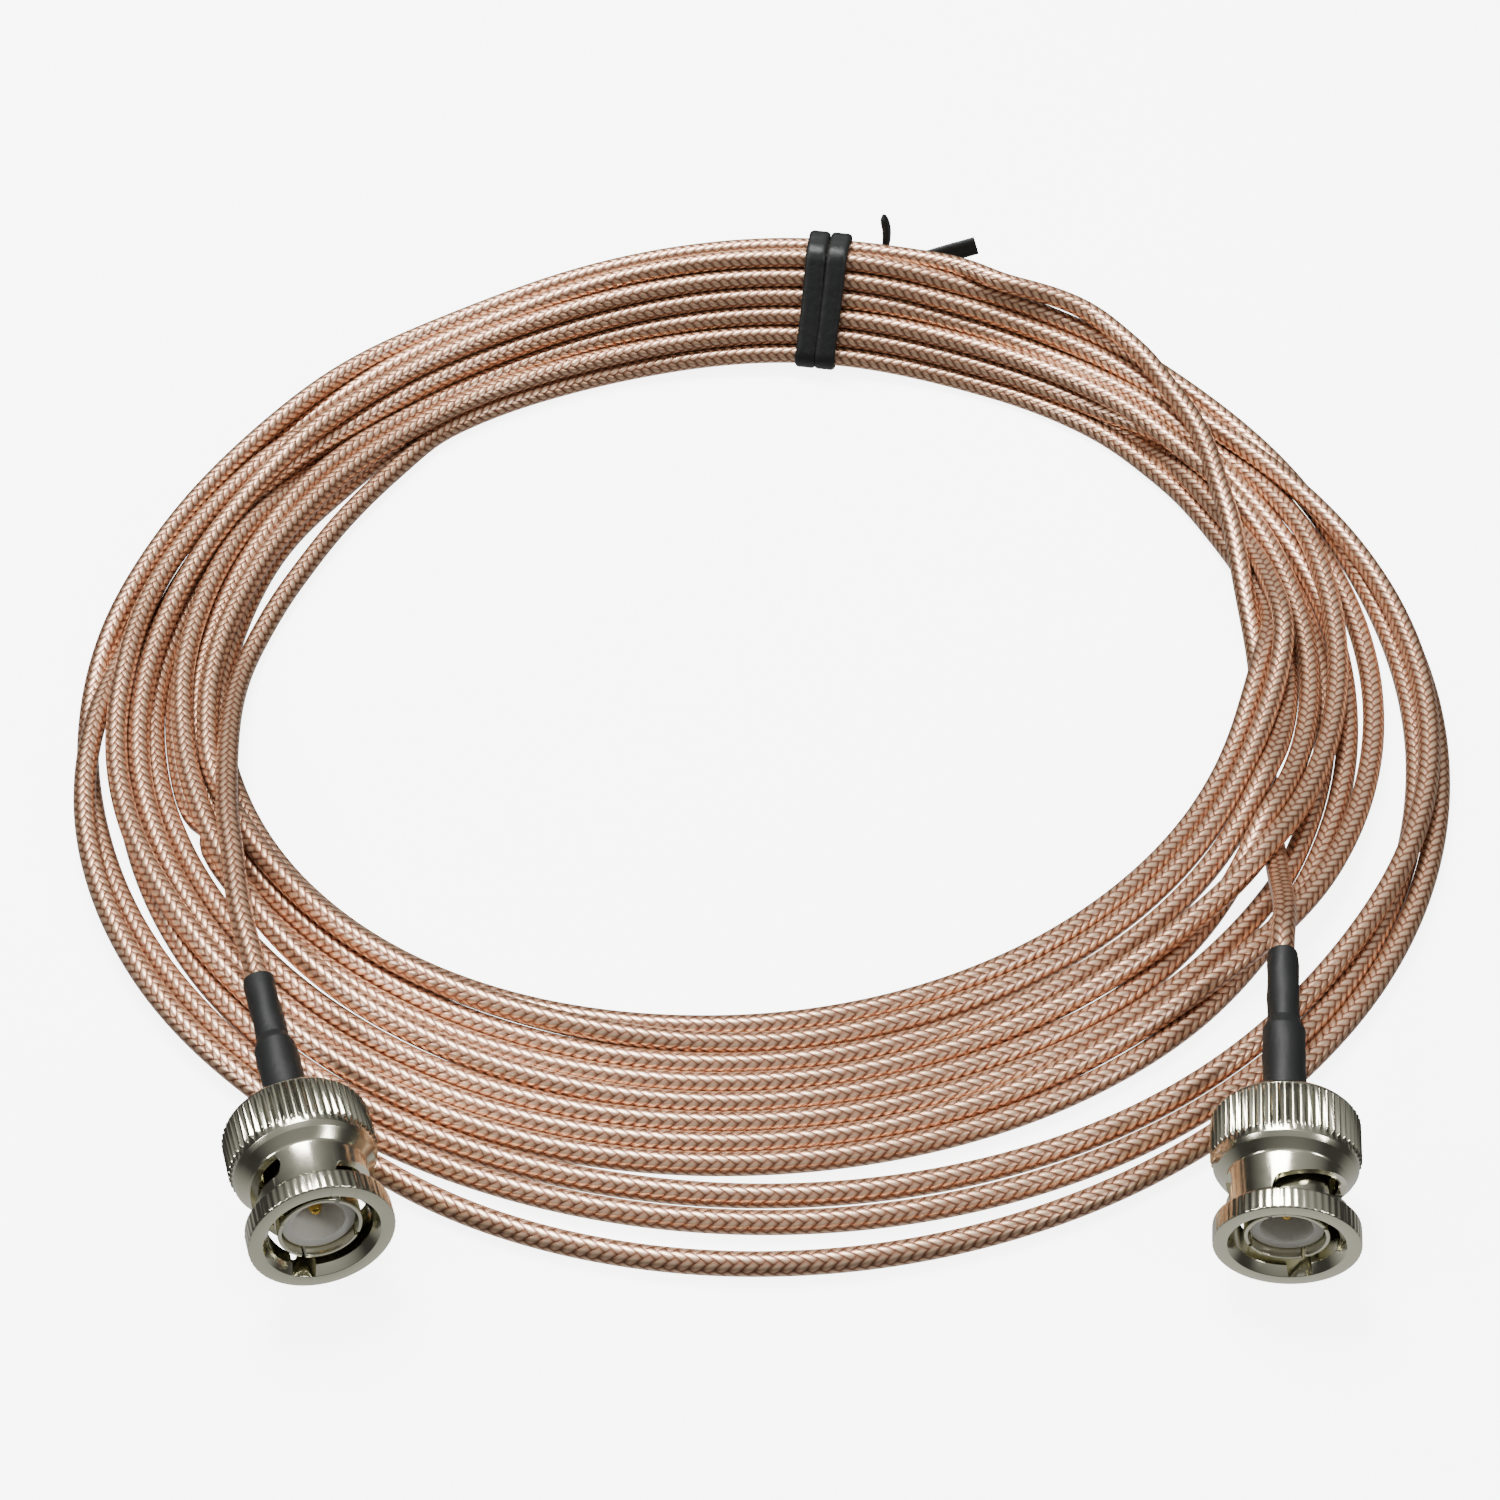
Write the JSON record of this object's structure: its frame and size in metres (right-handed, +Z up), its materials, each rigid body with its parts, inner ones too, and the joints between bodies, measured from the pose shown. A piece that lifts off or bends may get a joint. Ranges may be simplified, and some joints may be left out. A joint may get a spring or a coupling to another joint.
{
  "type": "bnc cable coil",
  "caption": "Coiled slim coaxial jumper cable held by a twist tie, with a bayonet cable plug on each end.",
  "frame": {"origin": "on the floor under the middle of the whole object's box", "axes": "+Z up as the coil lies flat; -Y is the side that both plugs point to; +X is to the right seen from above with the plugs towards the viewer"},
  "size_m": [0.1595, 0.1634, 0.0164],
  "materials": {
    "cable": "clear brown jacket over a copper braid",
    "tie": "dull black coated wire",
    "nickel": "warm nickel plate",
    "spring": "plain",
    "insulator": "off-white fluoroplastic",
    "pin": "gold plate",
    "ferrule": "nickel plate, hidden",
    "sleeve": "matt black shrunk tube"
  },
  "bodies": {
    "cable": {"cable_coil": "cable", "cable_tail_left": "cable", "cable_tail_right": "cable", "cable_tie": "tie", "plug_body_left": "nickel", "insulator_left": "insulator", "centre_pin_left": "pin", "crimp_ferrule_left": "ferrule", "shrink_sleeve_left": "sleeve", "plug_body_right": "nickel", "insulator_right": "insulator", "centre_pin_right": "pin", "crimp_ferrule_right": "ferrule", "shrink_sleeve_right": "sleeve"},
    "washer_left": {"spring_washer_left": "spring"},
    "nut_left": {"coupling_nut_left": "nickel"},
    "washer_right": {"spring_washer_right": "spring"},
    "nut_right": {"coupling_nut_right": "nickel"}
  },
  "joints": [
    {"name": "nut_press_left", "type": "slide", "parent": "cable", "child": "washer_left", "axis": [0.3005, -0.953, 0.0384], "range_m": [0, 0.0008], "stiffness_N_per_m": 500},
    {"name": "nut_turn_left", "type": "hinge", "parent": "washer_left", "child": "nut_left", "pos_m": [-0.04253, -0.07961, 0.0094], "axis": [0.3005, -0.953, 0.0384], "continuous": true},
    {"name": "nut_press_right", "type": "slide", "parent": "cable", "child": "washer_right", "axis": [-0.1127, -0.9895, -0.0906], "range_m": [0, 0.0008], "stiffness_N_per_m": 500},
    {"name": "nut_turn_right", "type": "hinge", "parent": "washer_right", "child": "nut_right", "pos_m": [0.04817, -0.07909, 0.0072], "axis": [-0.1127, -0.9895, -0.0906], "continuous": true}
  ]
}
